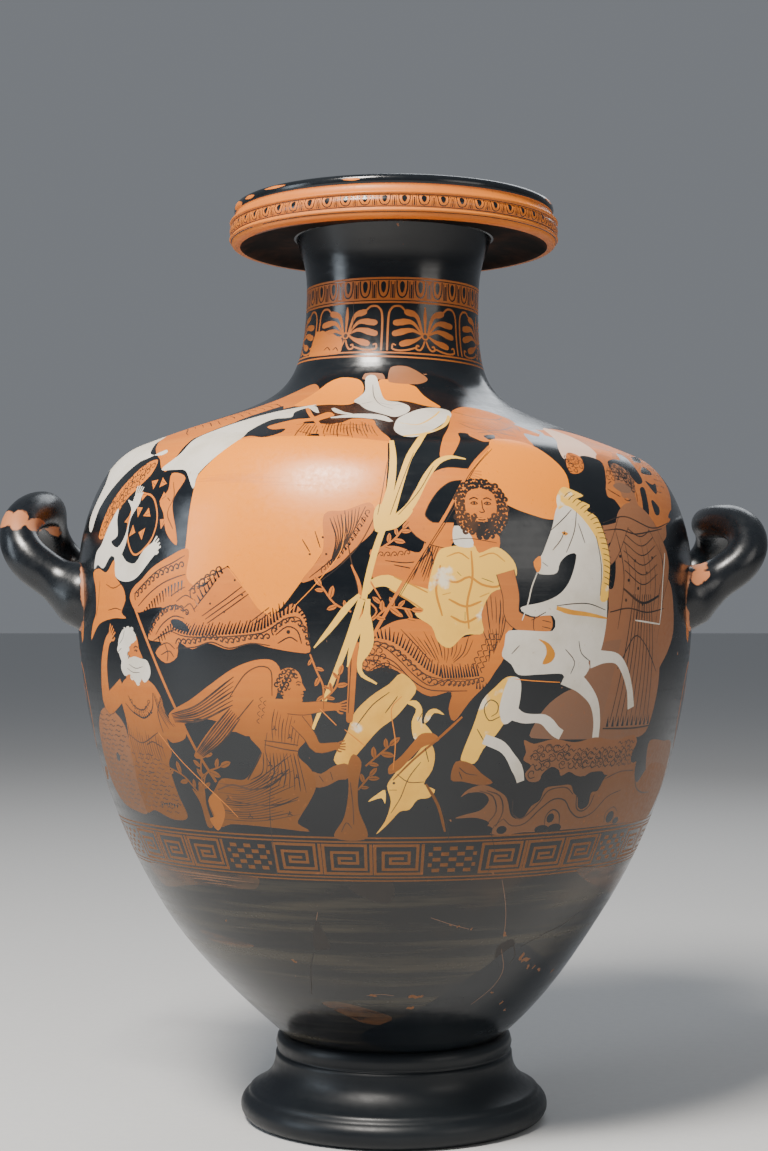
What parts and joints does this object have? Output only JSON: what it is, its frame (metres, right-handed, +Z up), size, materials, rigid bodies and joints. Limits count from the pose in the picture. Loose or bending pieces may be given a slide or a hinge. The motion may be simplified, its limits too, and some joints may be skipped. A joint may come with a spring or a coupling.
{
  "type": "hydria",
  "caption": "Hollow turned clay water jar with a narrow neck, overhanging moulded lip, flaring foot, side handles and a back handle, painted with figures and ornament bands.",
  "frame": {"origin": "centre of the bounding box's underside, on the belly's axis, on the surface that the foot stands on", "axes": "+Z up along the jar's axis; +Y to the back handle, with the painted front facing -Y; +X to the side handle at the right of the front"},
  "size_m": [0.4117, 0.336, 0.5],
  "materials": {
    "black_gloss_ceramic": "glossy black slip over fired orange clay, with reserved and painted figures"
  },
  "bodies": {
    "root": {"hydria": "black_gloss_ceramic"}
  },
  "joints": []
}
